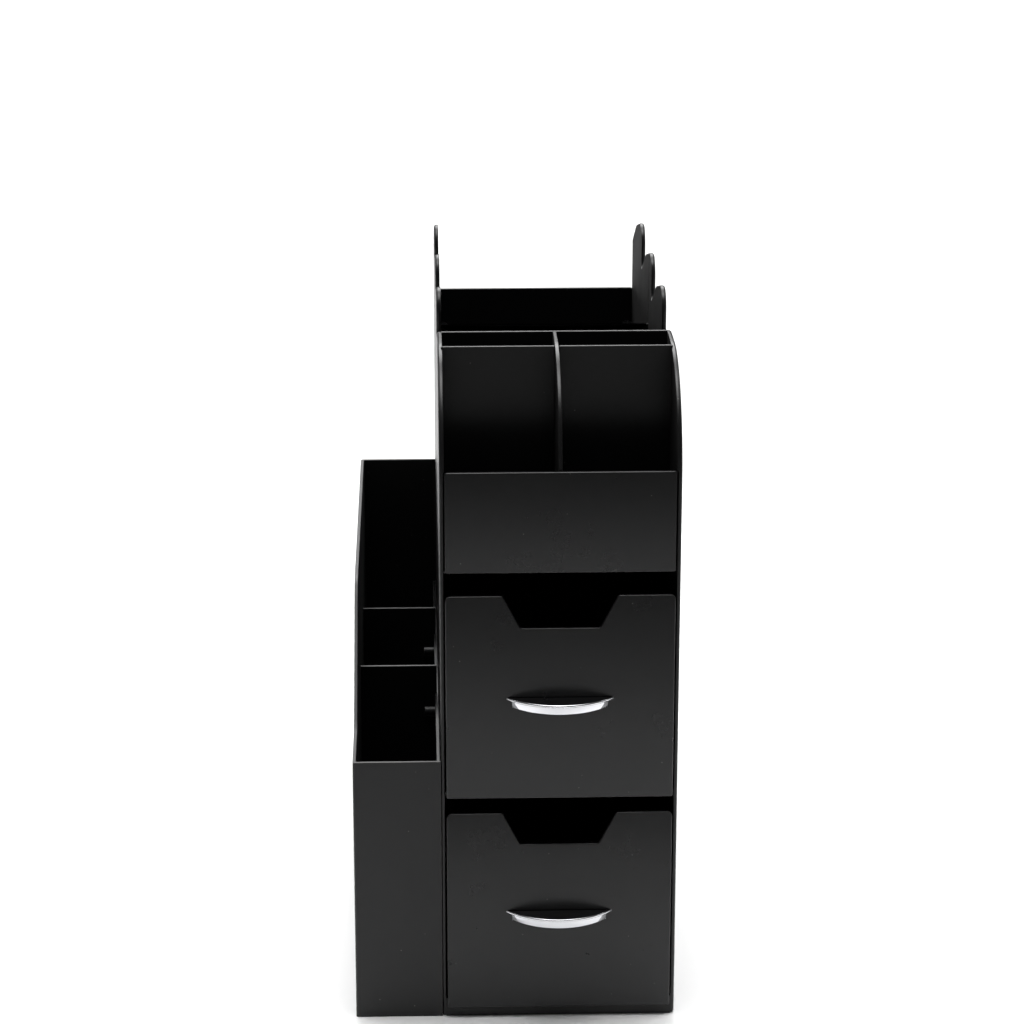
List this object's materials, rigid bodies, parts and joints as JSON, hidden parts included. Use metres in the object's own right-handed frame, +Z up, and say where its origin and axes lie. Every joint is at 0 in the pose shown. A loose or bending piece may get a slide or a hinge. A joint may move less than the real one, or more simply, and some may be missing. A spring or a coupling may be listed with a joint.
{
  "type": "condiment caddy with drawer",
  "caption": "Tall narrow counter caddy: open pockets and cup bays on top, pull-out drawers below with half-moon pulls, and a napkin and utensil tray down one side.",
  "frame": {"origin": "on the table, under the middle of the caddy's outline with its pulls and side tray", "axes": "+Z up, -Y to the front where the drawers open, +X to the right seen from the front"},
  "size_m": [0.14, 0.304, 0.304],
  "materials": {
    "housing_plastic": "satin black ABS, moulded, walls glossy inside",
    "drawer_plastic": "satin black ABS with a fine grain",
    "tray_plastic": "satin black ABS",
    "chrome_plate": "bright chrome plating",
    "screw_steel": "zinc-plated steel"
  },
  "bodies": {
    "housing": {"back_panel": "housing_plastic", "back_screws": "screw_steel", "centre_divider": "housing_plastic", "compartment_floor": "housing_plastic", "cup_divider": "housing_plastic", "drawer_shelf": "housing_plastic", "fascia_screws": "screw_steel", "front_fascia": "housing_plastic", "housing_shell": "housing_plastic", "pocket_back_wall": "housing_plastic", "side_tray": "tray_plastic", "stirrer_back_wall": "housing_plastic", "tray_screws": "screw_steel"},
    "upper_drawer": {"upper_drawer": "drawer_plastic", "upper_pull": "chrome_plate", "upper_pull_screws": "screw_steel"},
    "lower_drawer": {"lower_drawer": "drawer_plastic", "lower_pull": "chrome_plate", "lower_pull_screws": "screw_steel"}
  },
  "joints": [
    {"name": "upper_drawer_slide", "type": "slide", "parent": "housing", "child": "upper_drawer", "axis": [0, -1, 0], "range_m": [0, 0.19]},
    {"name": "lower_drawer_slide", "type": "slide", "parent": "housing", "child": "lower_drawer", "axis": [0, -1, 0], "range_m": [0, 0.19]}
  ]
}
